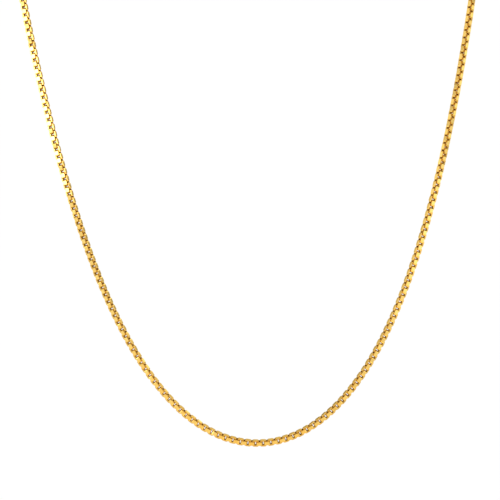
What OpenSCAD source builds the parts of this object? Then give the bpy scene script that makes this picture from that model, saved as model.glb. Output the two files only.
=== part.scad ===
// Box chain necklace, closed by a plain barrel clasp at the nape.
// The front drop is a catenary, the curve of a chain that hangs freely. Behind it each side
// goes up over the shoulder and round the neck to the clasp.
// The origin is the middle of the neck opening, at the height where the drop leaves the neck.
// +X is to the right as seen from the front, -Y is the front and +Z is up.

/* [Necklace] */
// Length once round the whole loop, with the clasp
loop_length = 508; // [470:1:700]

/* [Chain] */
// Width of the chain over the faces of its links
chain_width = 1.65; // [1.5:0.05:2.4]
// Width of the flat band that each link is bent from
band_width = 0.9; // [0.7:0.1:1.2]

/* [Worn shape] */
// Width between the two places where the front drop leaves the neck
neck_width = 114; // [100:1:126]
// Depth from the front drop to the nape
neck_depth = 68; // [56:1:84]
// Height of the nape over the places where the front drop leaves the neck
nape_rise = 34; // [20:1:44]

/* [Clasp] */
// Length of the barrel
barrel_length = 8; // [6:0.5:12]
// Width of the barrel at its middle
barrel_width = 3.2; // [2.6:0.1:4]
// Width of the barrel at its two ends
barrel_end_width = 2.2; // [1.6:0.1:2.4]
// Width of the seam groove round the middle of the barrel
seam_width = 0.3; // [0.2:0.05:0.6]
// Depth of the seam groove
seam_depth = 0.2; // [0.1:0.05:0.4]
// Thickness of the wire of the eye at each end
eye_wire = 0.4; // [0.3:0.05:0.6]

/* [Hidden] */

// Play of a link's band in an eye, on each side
eye_play = 0.25;
// Gap between the end of the chain and the eye that holds it
end_gap = 0.2;
// Height of the curve's handle over the shoulder, as a share of neck_depth
shoulder_share = 0.46;
// Length of the curve's handle at the nape, as a share of half of neck_width
nape_share = 0.8;
// Flats round the strand, and spans along the drop and along the way round the neck on one side
strand_sides = 8;
drop_spans = 24;
neck_spans = 16;
// Facets of the barrel and the eyes, of the barrel's long outline and of the eyes' wire
round_fn = 64;
outline_fn = 512;
wire_fn = 32;
// Bounds of the search for the drop's parameter, as shares of neck_width, and its turns
deepest_share = 1 / 12;
flattest_share = 1;
search_turns = 30;

// Width of the strand as it turns: midway between its faces and its corners
strand_width = (chain_width + norm([chain_width, band_width])) / 2;

eye_inner = band_width / 2 + eye_play;
eye_middle = eye_inner + eye_wire / 2;
eye_at = barrel_length / 2 + eye_inner;
clasp_half = eye_at + eye_inner + eye_wire;

function sinh(u) = (exp(u) - exp(-u)) / 2;
function cosh(u) = (exp(u) + exp(-u)) / 2;
function asinh(v) = ln(v + sqrt(v * v + 1));
function unit(v) = v / norm(v);

// The front drop, in the plane y = 0, with z = 0 where it leaves the neck. sag is the catenary's
// parameter, which is also its bend radius at the bottom, and s the length from the bottom.
function half_drop(sag) = sag * sinh(neck_width / 2 / sag);
function drop_height(sag) = sag * cosh(neck_width / 2 / sag) - sag;
function drop_point(sag, s) =
    [sag * asinh(s / sag), 0, norm([sag, s]) - sag - drop_height(sag)];
function drop_tangent(sag, s) = unit([sag, 0, s]);

// The way round the neck: a cubic curve that goes on from the drop and ends level at the clasp
function neck_curve(sag) =
    let (
        start = [neck_width / 2, 0, 0],
        finish = [clasp_half + end_gap, neck_depth, nape_rise]
    )
    [
        start,
        start + drop_tangent(sag, half_drop(sag)) * shoulder_share * neck_depth,
        finish + [nape_share * neck_width / 2, 0, 0],
        finish
    ];
function curve_point(c, t) =
    pow(1 - t, 3) * c[0] + 3 * t * pow(1 - t, 2) * c[1]
    + 3 * t * t * (1 - t) * c[2] + pow(t, 3) * c[3];
function curve_tangent(c, t) =
    unit(pow(1 - t, 2) * (c[1] - c[0]) + 2 * t * (1 - t) * (c[2] - c[1])
        + t * t * (c[3] - c[2]));
function curve_length(c, steps = 80, i = 0) =
    i == steps ? 0
    : norm(curve_point(c, (i + 1) / steps) - curve_point(c, i / steps))
        + curve_length(c, steps, i + 1);

// The drop's parameter at which the loop has its length, found by halving an interval. A flatter
// catenary is shorter.
function loop_at(sag) =
    2 * (half_drop(sag) + curve_length(neck_curve(sag)) + clasp_half + end_gap);
function solve_sag(low, high, turns) =
    turns == 0 ? (low + high) / 2
    : let (middle = (low + high) / 2)
        loop_at(middle) > loop_length ? solve_sag(middle, high, turns - 1)
        : solve_sag(low, middle, turns - 1);
sag = solve_sag(deepest_share * neck_width, flattest_share * neck_width, search_turns);

// Stations of one side, from the bottom of the drop to the clasp: each is a point and a direction
stations = [
    for (i = [0 : drop_spans])
        let (s = half_drop(sag) * i / drop_spans)
        [drop_point(sag, s), drop_tangent(sag, s)],
    for (i = [1 : neck_spans])
        [curve_point(neck_curve(sag), i / neck_spans), curve_tangent(neck_curve(sag), i / neck_spans)]
];

// A direction square to the strand at each station, carried along without twist
function square_to(v, tangent) = unit(v - (v * tangent) * tangent);
across = [
    for (i = 0, v = [0, 1, 0]; i < len(stations); i = i + 1,
            v = i < len(stations) ? square_to(v, stations[i][1]) : v)
        v
];

// A closed tube through the stations
module strand() {
    rows = len(stations);
    points = [
        for (i = [0 : rows - 1], k = [0 : strand_sides - 1])
            let (
                angle = 360 * (k + 0.5) / strand_sides,
                other = cross(stations[i][1], across[i])
            )
            stations[i][0] + strand_width / 2 * (cos(angle) * across[i] + sin(angle) * other)
    ];
    faces = [
        [for (k = [0 : strand_sides - 1]) k],
        for (i = [0 : rows - 2], k = [0 : strand_sides - 1])
            let (
                a = i * strand_sides + k,
                b = i * strand_sides + (k + 1) % strand_sides
            )
            each [[a, a + strand_sides, b + strand_sides], [a, b + strand_sides, b]],
        [for (k = [strand_sides - 1 : -1 : 0]) (rows - 1) * strand_sides + k]
    ];
    translate([0, -neck_depth / 2, 0]) polyhedron(points, faces);
}

module chain_right() {
    color("gold") strand();
}

module chain_left() {
    color("gold") mirror([1, 0, 0]) strand();
}

// The barrel's outline is an arc of a large circle through its middle and its ends
module barrel() {
    bulge = (barrel_width - barrel_end_width) / 2;
    arc_r = (pow(barrel_length / 2, 2) + bulge * bulge) / (2 * bulge);
    rotate([0, 90, 0])
        rotate_extrude($fn = round_fn)
            difference() {
                intersection() {
                    translate([0, -barrel_length / 2])
                        square([barrel_width / 2, barrel_length]);
                    translate([barrel_width / 2 - arc_r, 0])
                        circle(r = arc_r, $fn = outline_fn);
                }
                translate([barrel_width / 2 - seam_depth, -seam_width / 2])
                    square([barrel_width, seam_width]);
            }
}

module eye() {
    rotate_extrude($fn = round_fn)
        translate([eye_middle, 0])
            circle(d = eye_wire, $fn = wire_fn);
}

module clasp() {
    color("goldenrod")
        translate([0, neck_depth / 2, nape_rise]) {
            barrel();
            for (side = [-1, 1])
                translate([side * eye_at, 0, 0])
                    eye();
        }
}

chain_left();
chain_right();
clasp();
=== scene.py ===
"""A fine box chain, worn round the neck: polished yellow gold on white.

The frame holds two smooth strands and a barrel clasp. Here each strand becomes its row of box
links. A link is a flat band bent into a rounded ring. It passes through its two neighbours, which
stand a quarter turn from it. Lengths are in metres and angles in degrees.
"""
import math

import bpy
import numpy as np
from mathutils import Matrix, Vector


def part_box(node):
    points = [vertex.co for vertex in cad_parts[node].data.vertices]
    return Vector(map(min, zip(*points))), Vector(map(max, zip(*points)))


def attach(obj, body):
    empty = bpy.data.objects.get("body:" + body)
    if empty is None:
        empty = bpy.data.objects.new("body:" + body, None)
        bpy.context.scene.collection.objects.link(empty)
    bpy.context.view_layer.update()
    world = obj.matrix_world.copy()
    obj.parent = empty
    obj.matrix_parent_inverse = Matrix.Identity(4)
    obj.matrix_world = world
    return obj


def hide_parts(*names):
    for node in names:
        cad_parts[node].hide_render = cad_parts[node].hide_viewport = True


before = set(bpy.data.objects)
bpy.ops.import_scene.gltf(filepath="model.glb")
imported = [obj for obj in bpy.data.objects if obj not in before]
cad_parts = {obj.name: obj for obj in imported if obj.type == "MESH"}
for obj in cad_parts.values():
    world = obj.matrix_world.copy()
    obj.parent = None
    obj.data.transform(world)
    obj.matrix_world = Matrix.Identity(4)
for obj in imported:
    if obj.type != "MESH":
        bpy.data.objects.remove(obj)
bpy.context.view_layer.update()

# The necklace and its worn shape, as in the part's own source
LOOP_LENGTH = 0.508
NECK_WIDTH = 0.114
SHOULDER_SHARE = 0.46
NAPE_SHARE = 0.8
END_GAP = 0.0002
EYE_INNER = 0.0007
EYE_WIRE = 0.0004

# Samples along the drop and along the way round the neck. Then the search for the drop's
# parameter: its bounds, as shares of NECK_WIDTH, and its turns.
ROUTE_SAMPLES = 4000
DEEPEST_SHARE = 1 / 12
FLATTEST_SHARE = 1
SEARCH_TURNS = 40

# One link: the ring that its band is bent into. The pitch gives way a little, so that a whole
# number of links fills the loop.
LINK_PITCH = 0.00095
CHAIN_WIDTH = 0.00165
BAND_WIDTH = 0.0009
BAND_THICKNESS = 0.00036
CORNER_RADIUS = 0.00042
INNER_CORNER_RADIUS = 0.00004
CORNER_POINTS = 4
EDGE_CHAMFER = 0.00003

# Gloss and painted shade, from 0, rough and painted dark, to 1, polished: round a corner of the
# band's outside, from the link's end to its flat face, and on the band's edges and its inside. Low
# values paint shade where a link lies against its neighbours and in its inside, and make the gold
# rougher there.
END_GLOSS_AND_SHADE = (0.3, 0.7, 1.0, 1.0)
SIDE_GLOSS_AND_SHADE = 0.75
INSIDE_GLOSS_AND_SHADE = 0.3

# The gold lies in patches of two colours and two roughnesses. One turns into the other over this
# share of a noise, whose scale differs on the links and on the clasp.
GOLD_COLOURS = ((0.92, 0.60, 0.15, 1), (0.95, 0.67, 0.20, 1))
GOLD_ROUGHNESS = (0.08, 0.16)
PATCH_BLEND = (0.35, 0.65)
LINK_PATCHES = 900
CLASP_PATCHES = 400
# The gold's colour where it is seen at a flat angle
FLAT_ANGLE_COLOUR = (1.0, 0.8, 0.5, 1)
# Where gloss is 0: painted shade, a dark red-brown for the links' creases and insides, and a rougher
# finish
PAINTED_SHADE_COLOUR = (0.25, 0.05, 0.005, 1)
WORN_ROUGHNESS = 0.45

# Turned lines round the clasp's barrel
LINE_SCALE = 4000
LINE_DISTORTION = 1.5
LINE_STRENGTH = 0.15
LINE_DEPTH = 0.00001

# Small faults of the hand-assembled chain: the spread of each link's roll and tilt
ROLL_SCATTER = 2.0
TILT_SCATTER = 1.5
SEED = 7

# Roll of the row of faces that shows: 0 faces the front, and more turns it out of the loop. Each
# row has a distance from the bottom of the drop, the roll on the left and the roll on the right.
# The last row stands the end links upright in the clasp's eyes.
ROLL_TABLE = (
    (0.000, 17, 17),
    (0.025, 18, 17),
    (0.038, 23, 19),
    (0.064, 25, 21),
    (0.078, 24, 25),
    (0.085, 23, 30),
    (0.099, 20, 43),
    (0.115, 20, 43),
    (0.180, 18, 26),
    (0.249, 13.6, 13.6),
)

# The photograph's view of the front drop. The sensor's width is in millimetres.
VIEW_DISTANCE = 0.45
VIEW_WIDTH = 0.12368
VIEW_FROM_BOTTOM = 0.04778
VIEW_ASIDE = -0.00114
VIEW_LEAN = 1.425
VIEW_NEAREST = 0.01
VIEW_FARTHEST = 20
SENSOR = 36

# The white sweep: level floor, quarter circle and upright backdrop
FLOOR_Z = -0.30
FLOOR_FRONT = -2.5
BACKDROP_Y = 1.10
BACKDROP_TOP = 2.2
SWEEP_RADIUS = 0.25
SWEEP_WIDTH = 4.0
SWEEP_STEPS = 24

# The light tent round the chain. A direction's height is its share upward, its depth its share
# downward and its front its share to -Y. The tent is evenly lit, with more light from the floor.
TENT_LEVEL = 0.75
FLOOR_LEVEL = 0.3
FLOOR_DEPTH = (-0.1, 0.25)
# Panels, each with its middle, the angles from there at which it starts to fade and ends, and its
# strength. A panel of negative strength is dark cloth.
PANELS = (
    ((-0.68, -0.73, -0.03), 6, 10, 5),
    ((0.8, -0.6, 0), 9, 24, 0.45),
    ((0.98, 0.12, 0.14), 8, 24, 0.5),
    ((-0.9, 0.35, 0.3), 10, 40, 0.4),
    ((-0.78, -0.05, 0.62), 10, 35, 0.15),
    ((0.3, -0.28, -0.91), 12, 26, 0.9),
    ((-0.5, -0.05, -0.86), 12, 32, -0.7),
    ((0.6, -0.35, -0.72), 10, 35, -0.3),
    ((0.92, 0, -0.4), 5, 18, -0.5),
    ((0.6, 0.53, 0.6), 8, 20, 1),
    ((0.78, 0.62, 0.1), 8, 26, -0.25),
    ((-0.57, 0.78, 0.28), 8, 32, -0.35),
    ((0.64, 0.02, 0.76), 16, 32, -0.75),
    ((0, -0.99, 0.12), 6, 18, 0.35),
    ((0.94, -0.3, 0.14), 6, 14, -0.8),
)
# Dark cloth in front and above, over the camera, and the level below which no part of the tent falls
DARK_HEIGHT = (0.2, 0.45)
DARK_FRONT = (-0.25, 0.1)
DARK_SHARE = 0.95
DARKEST_LEVEL = 0.1
# The colour that the light takes on toward the floor
WARM_LIGHT = (1.0, 0.86, 0.6, 1)
WARM_DEPTH = (0.35, 0.65)
WHITE = (1, 1, 1, 1)
BLACK = (0, 0, 0, 1)


def unit(vectors):
    """Each vector divided by its length."""
    return vectors / np.linalg.norm(vectors, axis=-1, keepdims=True)


def cubic(corners, t):
    """Points of the cubic curve: its four corners weighted by the Bernstein polynomials of t."""
    t = np.asarray(t)[:, None]
    weights = np.hstack([(1 - t) ** 3, 3 * t * (1 - t) ** 2, 3 * t * t * (1 - t), t**3])
    return weights @ corners


class Route:
    """The way of the chain's axis on the +X side, by the distance from the bottom of the drop.

    The drop is a catenary: x = sag asinh(s / sag) and z = hypot(sag, s) less a constant. The way
    round the neck is one cubic curve that goes on from it and ends level at the clasp's eye. The
    loop's length gives sag, by halving an interval: a flatter drop is shorter.
    """

    def __init__(self):
        low, high = (np.array(corner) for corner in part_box("clasp"))
        self.nape = (low + high) / 2
        self.clasp_half = (high[0] - low[0]) / 2
        self.front = -self.nape[1]
        deepest, flattest = DEEPEST_SHARE * NECK_WIDTH, FLATTEST_SHARE * NECK_WIDTH
        for _ in range(SEARCH_TURNS):
            self.sag = (deepest + flattest) / 2
            if self.loop_at(self.sag) > LOOP_LENGTH:
                deepest = self.sag
            else:
                flattest = self.sag
        self.trace()

    def half_drop(self, sag):
        """Length of one side of the drop: sag sinh(half its width / sag)."""
        return sag * math.sinh(NECK_WIDTH / 2 / sag)

    def neck_way(self, sag):
        """Points along the cubic curve round the neck, and the distance to each of them."""
        leave = unit(np.array([sag, 0, self.half_drop(sag)]))
        start = np.array([NECK_WIDTH / 2, self.front, 0])
        finish = self.nape + [self.clasp_half + END_GAP, 0, 0]
        reach = leave * SHOULDER_SHARE * 2 * self.nape[1]
        handle = np.array([NAPE_SHARE * NECK_WIDTH / 2, 0, 0])
        corners = np.array([start, start + reach, finish + handle, finish])
        points = cubic(corners, np.linspace(0, 1, ROUTE_SAMPLES))
        steps = np.linalg.norm(np.diff(points, axis=0), axis=1)
        return points, np.concatenate([[0], np.cumsum(steps)])

    def loop_at(self, sag):
        """Length of the whole loop, with the clasp."""
        ends = self.clasp_half + END_GAP
        return 2 * (self.half_drop(sag) + self.neck_way(sag)[1][-1] + ends)

    def trace(self):
        """Samples of the whole way: the drop, the neck, and on into the clasp's eye.

        Beside each sample stand its tangent, a direction square to it, and the angle that takes
        off the turn of that direction about the tangent, so that it is carried without twist.
        """
        sag = self.sag
        drop_length = self.half_drop(sag)
        s = np.linspace(0, drop_length, ROUTE_SAMPLES)
        rise = np.hypot(sag, s) - np.hypot(sag, drop_length)
        drop = np.column_stack([sag * np.arcsinh(s / sag), np.full_like(s, self.front), rise])
        neck, along = self.neck_way(sag)
        inside = neck[-1] - [self.clasp_half, 0, 0]
        self.bottom = drop[0]
        self.length = drop_length + along[-1]
        self.points = np.vstack([drop, neck[1:], inside])
        self.along = np.concatenate(
            [s, drop_length + along[1:], [self.length + self.clasp_half]]
        )
        self.tangent = unit(np.gradient(self.points, self.along, axis=0))
        self.tangent[0] = [1, 0, 0]
        self.front_way = unit(np.cross(self.tangent, [0, 0, 1]))
        out = np.cross(self.tangent, self.front_way)
        turn = np.sum(np.diff(self.front_way, axis=0) * out[:-1], axis=1)
        self.untwist = -np.concatenate([[0], np.cumsum(turn)])

    def pick(self, values, s):
        """Rows of values, interpolated at the distances s."""
        return np.column_stack([np.interp(s, self.along, column) for column in values.T])

    def at(self, s, roll):
        """Point, tangent and face normal at each distance s, mirrored in x where s is negative.

        The normal starts at the front, is carried along without twist and is rolled out of the
        loop.
        """
        far = abs(s)
        tangent = unit(self.pick(self.tangent, far))
        front = unit(self.pick(self.front_way, far))
        out = np.cross(tangent, front)
        angle = (np.interp(far, self.along, self.untwist) + np.radians(roll))[:, None]
        normal = np.cos(angle) * front + np.sin(angle) * out
        mirror = np.ones_like(tangent)
        mirror[s < 0, 0] = -1
        return self.pick(self.points, far) * mirror, tangent * mirror, normal * mirror


def link_shape():
    """One link about the origin: its points (along, out, across) and faces, and for each corner of
    each face its normal and its gloss, which also paints shade.

    The band's section has six points, with chamfers on the outer edges. It is carried round a
    rectangle with round corners: a point inset by d lies on corner arcs whose middles lie inset
    by d and the arc's radius. The normals of the inside and the outside turn with the arcs, those
    of the edges point across, and a chamfer's go from one to the other.
    """
    half_long = LINK_PITCH / 2 + BAND_THICKNESS
    half_out = CHAIN_WIDTH / 2
    half = BAND_WIDTH / 2
    flat = half - EDGE_CHAMFER
    across = np.array([-half, half, half, flat, -flat, -half])
    inset = np.array([BAND_THICKNESS, BAND_THICKNESS, EDGE_CHAMFER, 0, 0, EDGE_CHAMFER])
    radius = CORNER_RADIUS - inset
    radius[:2] = INNER_CORNER_RADIUS
    quarter = np.linspace(0, 90, CORNER_POINTS)
    turn = np.radians(np.concatenate([quarter + 90 * k for k in range(4)]))[:, None]
    corner = np.repeat([[1, 1], [-1, 1], [-1, -1], [1, -1]], CORNER_POINTS, axis=0)
    far = inset + radius
    along = corner[:, :1] * (half_long - far) + radius * np.cos(turn)
    out = corner[:, 1:] * (half_out - far) + radius * np.sin(turn)
    points = np.stack([along, out, np.broadcast_to(across, along.shape)], axis=2).reshape(-1, 3)

    # A face joins two neighbouring places of the section, along one of its six sides: the inside,
    # an edge, a chamfer, the outside, a chamfer and an edge
    inside, edges = 0, [1, 5]
    rows, columns = along.shape
    i, j = np.meshgrid(np.arange(rows), np.arange(columns), indexing="ij")
    right, up = (i + 1) % rows, (j + 1) % columns
    faces = np.stack([i, i, right, right]) * columns + np.stack([j, up, up, j])

    # The first and the third corner start at an end of the link, and the others finish there
    # Gloss falls toward the link's ends, which paints shade in the gaps between links
    outside = np.concatenate([END_GLOSS_AND_SHADE, END_GLOSS_AND_SHADE[::-1], END_GLOSS_AND_SHADE, END_GLOSS_AND_SHADE[::-1]])
    gloss_and_shade = np.stack([outside[i], outside[i], outside[right], outside[right]])
    # The inside and the edges get painted shade too
    gloss_and_shade[:, :, inside] = INSIDE_GLOSS_AND_SHADE
    gloss_and_shade[:, :, edges] = SIDE_GLOSS_AND_SHADE

    # Normals at the first and at the second end of each side, at every place of the section
    outward = np.column_stack([np.cos(turn), np.sin(turn), np.zeros(rows)])
    edge = np.broadcast_to([0.0, 0.0, 1.0], outward.shape)
    begin = np.stack([-outward, edge, edge, outward, outward, -edge], axis=1)
    end = np.stack([-outward, edge, outward, outward, -edge, -edge], axis=1)
    after = right[:, 0]
    normals = np.stack([begin, end, end[after], begin[after]])
    return (
        points,
        faces.reshape(4, -1).T,
        normals.reshape(4, -1, 3).swapaxes(0, 1),
        gloss_and_shade.reshape(4, -1).T,
    )


def make_mesh(name, points, faces, material):
    """A smooth mesh object at the origin from whole arrays of points and four-sided faces."""
    mesh = bpy.data.meshes.new(name)
    mesh.vertices.add(len(points))
    mesh.vertices.foreach_set("co", points.ravel())
    mesh.loops.add(faces.size)
    mesh.loops.foreach_set("vertex_index", faces.ravel())
    mesh.polygons.add(len(faces))
    mesh.polygons.foreach_set("loop_start", np.arange(0, faces.size, 4))
    mesh.polygons.foreach_set("use_smooth", np.ones(len(faces), dtype=bool))
    mesh.materials.append(material)
    mesh.update(calc_edges=True)
    piece = bpy.data.objects.new(name, mesh)
    bpy.context.scene.collection.objects.link(piece)
    return piece


def place_links(route):
    """Distance, middle and axes (along, out, across) of every link, from left to right.

    The end bar of the last link on each side lies against the wire of the clasp's eye, inside it.
    The band is flat and the eye round, so the band's inner edges touch the wire. The links on
    each side of the bottom one are even in number, and every odd link is turned by 90.
    """
    in_eye = math.sqrt(EYE_INNER**2 - (BAND_WIDTH / 2) ** 2)
    reach = route.length + END_GAP + EYE_WIRE + EYE_INNER - in_eye - LINK_PITCH / 2
    side_count = 2 * round(reach / LINK_PITCH / 2)
    number = np.arange(-side_count, side_count + 1)
    s = number * reach / side_count
    rng = np.random.default_rng(SEED)
    faults = rng.normal(0, ROLL_SCATTER, len(number))
    tilt = np.radians(rng.normal(0, TILT_SCATTER, (len(number), 2)))
    far, left, right = np.array(ROLL_TABLE).T
    roll = np.where(s < 0, np.interp(abs(s), far, left), np.interp(abs(s), far, right))
    middle, along, out = route.at(s, roll + faults + 90 * (number % 2))
    across = np.cross(along, out)
    along = unit(along + tilt[:, :1] * out + tilt[:, 1:] * across)
    out = unit(out - np.sum(out * along, axis=1, keepdims=True) * along)
    return s, middle, np.stack([along, out, np.cross(along, out)], axis=1)


def chain_half(name, node, middle, axes, material):
    """One side's links in one mesh, in place of its strand.

    Each link's points are its middle plus the shape's three coordinates times the link's axes.
    """
    shape, faces, normals, gloss_and_shade = link_shape()
    count = len(middle)
    points = middle[:, None] + np.einsum("pk,lkd->lpd", shape, axes)
    first = np.arange(count) * len(shape)
    all_faces = faces[None] + first[:, None, None]
    piece = make_mesh(name, points.reshape(-1, 3), all_faces.reshape(-1, 4), material)
    # The gloss attribute sets the roughness and paints shade into the links' creases and insides
    attribute = piece.data.attributes.new("gloss_and_shade", "FLOAT", "CORNER")
    attribute.data.foreach_set("value", np.tile(gloss_and_shade.ravel(), count))
    turned = np.einsum("fck,lkd->lfcd", normals, axes)
    piece.data.normals_split_custom_set(turned.reshape(-1, 3))
    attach(piece, "root")
    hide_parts(node)


def feed(tree, socket, value):
    """Gives a node's input its value: a constant, or another node's output."""
    if isinstance(value, bpy.types.NodeSocket):
        tree.links.new(value, socket)
    else:
        socket.default_value = value


def math_node(tree, operation, first, second, third=0.0):
    """A math node's output."""
    node = tree.nodes.new("ShaderNodeMath")
    node.operation = operation
    for socket, value in zip(node.inputs, (first, second, third)):
        feed(tree, socket, value)
    return node.outputs[0]


def mix_node(tree, kind, share, first, second):
    """A mix node's output: the first value where the share is 0, and the second where it is 1."""
    node = tree.nodes.new("ShaderNodeMix")
    node.data_type = kind
    feed(tree, node.inputs["Factor"], share)
    feed(tree, node.inputs["A"], first)
    feed(tree, node.inputs["B"], second)
    return node.outputs["Result"]


def smooth_step(tree, value, low, high):
    """A smooth step of a value: 0 at low and 1 at high."""
    node = tree.nodes.new("ShaderNodeMapRange")
    node.interpolation_type = "SMOOTHSTEP"
    node.inputs["From Min"].default_value = low
    node.inputs["From Max"].default_value = high
    feed(tree, node.inputs["Value"], value)
    return node.outputs["Result"]


def node_material(name):
    """A new material with its node tree and its shader."""
    material = bpy.data.materials.new(name)
    material.use_nodes = True
    tree = material.node_tree
    return material, tree, tree.nodes["Principled BSDF"]


def gold(name, patch_scale):
    """Polished yellow gold in patches of two colours, which differ in roughness too."""
    material, tree, shader = node_material(name)
    shader.inputs["Metallic"].default_value = 1.0
    shader.inputs["Specular Tint"].default_value = FLAT_ANGLE_COLOUR
    place = tree.nodes.new("ShaderNodeTexCoord")
    patches = tree.nodes.new("ShaderNodeTexNoise")
    patches.inputs["Scale"].default_value = patch_scale
    tree.links.new(place.outputs["Object"], patches.inputs["Vector"])
    tint = tree.nodes.new("ShaderNodeValToRGB")
    for element, position, colour in zip(tint.color_ramp.elements, PATCH_BLEND, GOLD_COLOURS):
        element.position = position
        element.color = colour
    tree.links.new(patches.outputs["Fac"], tint.inputs["Fac"])
    tree.links.new(tint.outputs["Color"], shader.inputs["Base Color"])
    dull = tree.nodes.new("ShaderNodeMapRange")
    dull.inputs["From Min"].default_value, dull.inputs["From Max"].default_value = PATCH_BLEND
    dull.inputs["To Min"].default_value, dull.inputs["To Max"].default_value = GOLD_ROUGHNESS
    tree.links.new(patches.outputs["Fac"], dull.inputs["Value"])
    tree.links.new(dull.outputs["Result"], shader.inputs["Roughness"])
    return material, tree, shader


def links_gold():
    """The links' gold: where the gloss attribute falls it goes over to painted shade, a dull
    red-brown, and grows rougher.
    """
    material, tree, shader = gold("links_gold", LINK_PATCHES)
    gloss_and_shade = tree.nodes.new("ShaderNodeAttribute")
    gloss_and_shade.attribute_name = "gloss_and_shade"
    # Painted shade colour and higher roughness, where gloss is low
    shade_and_roughness = (("Base Color", "RGBA", PAINTED_SHADE_COLOUR), ("Roughness", "FLOAT", WORN_ROUGHNESS))
    for name, kind, value in shade_and_roughness:
        socket = shader.inputs[name]
        polished = socket.links[0].from_socket
        tree.links.new(mix_node(tree, kind, gloss_and_shade.outputs["Fac"], value, polished), socket)
    return material


def clasp_gold():
    """The clasp's gold, with fine turned lines round the barrel."""
    material, tree, shader = gold("clasp_gold", CLASP_PATCHES)
    place = tree.nodes.new("ShaderNodeTexCoord")
    turned = tree.nodes.new("ShaderNodeTexWave")
    turned.bands_direction = "X"
    turned.inputs["Scale"].default_value = LINE_SCALE
    turned.inputs["Distortion"].default_value = LINE_DISTORTION
    tree.links.new(place.outputs["Object"], turned.inputs["Vector"])
    bump = tree.nodes.new("ShaderNodeBump")
    bump.inputs["Strength"].default_value = LINE_STRENGTH
    bump.inputs["Distance"].default_value = LINE_DEPTH
    tree.links.new(turned.outputs["Fac"], bump.inputs["Height"])
    tree.links.new(bump.outputs["Normal"], shader.inputs["Normal"])
    return material


def sweep_white():
    """Pure white that only the camera sees, the same from every side."""
    material, _, shader = node_material("sweep_white")
    shader.inputs["Base Color"].default_value = BLACK
    shader.inputs["Roughness"].default_value = 1.0
    shader.inputs["Emission Color"].default_value = WHITE
    shader.inputs["Emission Strength"].default_value = 1.0
    return material


def sweep():
    """The floor and the backdrop in one sheet: a quarter circle joins the level to the upright."""
    turn = np.linspace(0, math.pi / 2, SWEEP_STEPS)
    bend_y = BACKDROP_Y - SWEEP_RADIUS * (1 - np.sin(turn))
    bend_z = FLOOR_Z + SWEEP_RADIUS * (1 - np.cos(turn))
    y = np.concatenate([[FLOOR_FRONT], bend_y, [BACKDROP_Y]])
    z = np.concatenate([[FLOOR_Z], bend_z, [BACKDROP_TOP]])
    left = np.column_stack([np.full_like(y, -SWEEP_WIDTH / 2), y, z])
    k = np.arange(len(y) - 1)
    faces = np.column_stack([k, k + len(y), k + len(y) + 1, k + 1])
    piece = make_mesh("sweep", np.vstack([left, left * [-1, 1, 1]]), faces, sweep_white())
    piece.visible_glossy = False
    piece.visible_diffuse = False
    piece.visible_shadow = False


def panel(tree, direction, middle, fade, end):
    """A panel's share of a direction: a smooth step of the cosine to the panel's middle."""
    cosine = tree.nodes.new("ShaderNodeVectorMath")
    cosine.operation = "DOT_PRODUCT"
    cosine.inputs[1].default_value = tuple(unit(np.array(middle, dtype=float)))
    tree.links.new(direction, cosine.inputs[0])
    edge, inner = (math.cos(math.radians(angle)) for angle in (end, fade))
    return smooth_step(tree, cosine.outputs["Value"], edge, inner)


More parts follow.
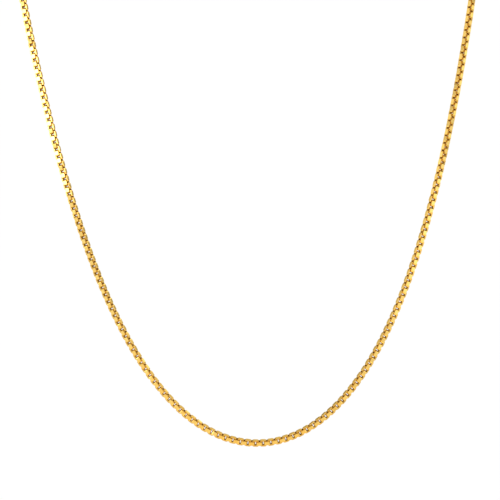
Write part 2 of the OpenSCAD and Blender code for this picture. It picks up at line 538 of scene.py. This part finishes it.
def light_tent():
    """Light from all round, by the direction alone.

    The level is that of the tent, plus that of the floor times a step of the depth. The dark
    share, times a step of the height and a step toward the front, is taken off that. Each panel
    adds its strength times its share of the direction, and the darkest level is the least.
    """
    world = bpy.data.worlds.new("studio")
    world.use_nodes = True
    tree = world.node_tree
    direction = tree.nodes.new("ShaderNodeTexCoord").outputs["Generated"]
    parts = tree.nodes.new("ShaderNodeSeparateXYZ")
    tree.links.new(direction, parts.inputs[0])
    height = parts.outputs["Z"]
    toward = math_node(tree, "MULTIPLY", parts.outputs["Y"], -1.0)
    depth = math_node(tree, "MULTIPLY", height, -1.0)
    floor = smooth_step(tree, depth, *FLOOR_DEPTH)
    level = math_node(tree, "MULTIPLY_ADD", floor, FLOOR_LEVEL, TENT_LEVEL)
    high = smooth_step(tree, height, *DARK_HEIGHT)
    dark = math_node(tree, "MULTIPLY", high, smooth_step(tree, toward, *DARK_FRONT))
    kept = math_node(tree, "MULTIPLY_ADD", dark, -DARK_SHARE, 1.0)
    total = math_node(tree, "MULTIPLY", level, kept)
    for middle, fade, end, strength in PANELS:
        share = panel(tree, direction, middle, fade, end)
        total = math_node(tree, "MULTIPLY_ADD", share, strength, total)
    total = math_node(tree, "MAXIMUM", total, DARKEST_LEVEL)
    low = smooth_step(tree, depth, *WARM_DEPTH)
    background = tree.nodes["Background"]
    tree.links.new(mix_node(tree, "RGBA", low, WHITE, WARM_LIGHT), background.inputs["Color"])
    tree.links.new(total, background.inputs["Strength"])
    bpy.context.scene.world = world


def camera(route):
    """Looks level along +Y at the drop, and leans so that the top of the chain goes left."""
    data = bpy.data.cameras.new("camera")
    data.sensor_fit = "HORIZONTAL"
    data.sensor_width = SENSOR
    data.lens = SENSOR * VIEW_DISTANCE / VIEW_WIDTH
    data.clip_start = VIEW_NEAREST
    data.clip_end = VIEW_FARTHEST
    lens = bpy.data.objects.new("camera", data)
    bpy.context.scene.collection.objects.link(lens)
    lean = math.radians(VIEW_LEAN)
    right = [math.cos(lean), 0, -math.sin(lean)]
    up = [math.sin(lean), 0, math.cos(lean)]
    back = [0, -1, 0]
    place = route.bottom + [VIEW_ASIDE, -VIEW_DISTANCE, VIEW_FROM_BOTTOM]
    lens.matrix_world = Matrix(np.vstack([np.column_stack([right, up, back, place]), [0, 0, 0, 1]]))
    bpy.context.scene.camera = lens


def main():
    """The view and its light, then the links in place of the strands, and the clasp's gold."""
    route = Route()
    camera(route)
    light_tent()
    sweep()
    material = links_gold()
    s, middle, axes = place_links(route)
    for side, mine in (("left", s < 0), ("right", s >= 0)):
        chain_half(f"links_{side}", f"chain_{side}", middle[mine], axes[mine], material)
    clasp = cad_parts["clasp"]
    clasp.data.materials.clear()
    clasp.data.materials.append(clasp_gold())
    bpy.context.scene.view_settings.view_transform = "Standard"


main()
